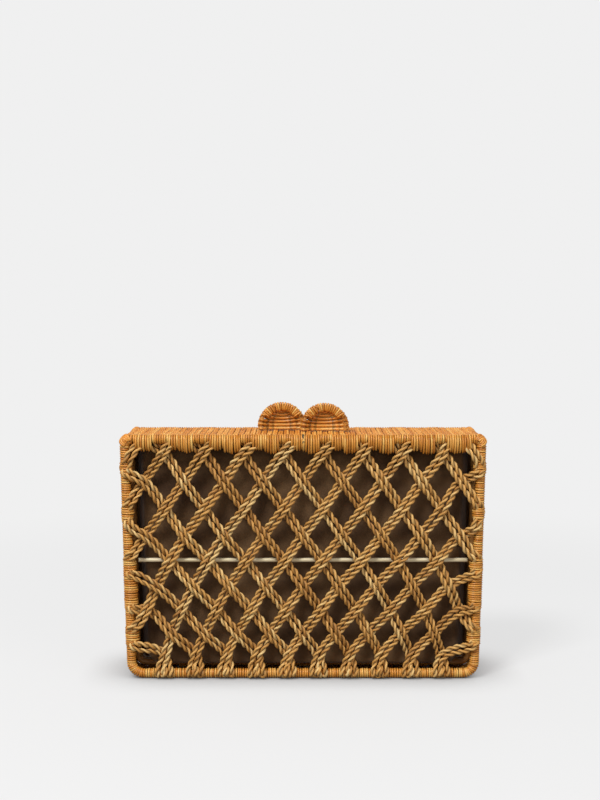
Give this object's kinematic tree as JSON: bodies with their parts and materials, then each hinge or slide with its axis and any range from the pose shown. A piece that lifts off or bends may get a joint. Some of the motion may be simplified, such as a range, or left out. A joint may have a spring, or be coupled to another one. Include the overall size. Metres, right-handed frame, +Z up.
{
  "type": "basket box bag",
  "caption": "Rattan box clutch of two hinged basket halves with rope lattice faces, fabric lined trays and a clasp of wound ears.",
  "frame": {"origin": "middle of the underside, on the seam between the two halves", "axes": "+X along the length, +Y towards the back face, +Z up"},
  "size_m": [0.26, 0.0636, 0.2004],
  "materials": {
    "rattan_winding": "varnished fine rattan core",
    "woven_rattan": "varnished woven rattan core",
    "seagrass_rope": "two-ply twisted seagrass, varnished",
    "pale_cane": "peeled cane, satin",
    "cane_rod": "plain cane",
    "lining_fabric": "brown olive suede-like cloth over board",
    "dark_cord": "dark thread"
  },
  "bodies": {
    "back_half": {"back_crossbar": "pale_cane", "back_ear_arch": "cane_rod", "back_ear_winding": "rattan_winding", "back_edge_winding": "rattan_winding", "back_face_rod": "cane_rod", "back_lattice": "seagrass_rope", "back_lining": "lining_fabric", "back_rim_rod": "cane_rod", "back_wall": "woven_rattan", "hinge_lashing_left": "rattan_winding", "hinge_lashing_middle": "rattan_winding", "hinge_lashing_right": "rattan_winding"},
    "front_half": {"front_crossbar": "pale_cane", "front_ear_arch": "cane_rod", "front_ear_winding": "rattan_winding", "front_edge_winding": "rattan_winding", "front_face_rod": "cane_rod", "front_lattice": "seagrass_rope", "front_lining": "lining_fabric", "front_rim_rod": "cane_rod", "front_wall": "woven_rattan", "rail_tie": "dark_cord"}
  },
  "joints": [
    {"name": "opening", "type": "hinge", "parent": "back_half", "child": "front_half", "pos_m": [0, -0.00265, 0.005], "axis": [1, 0, 0], "range_deg": [0, 60]}
  ]
}
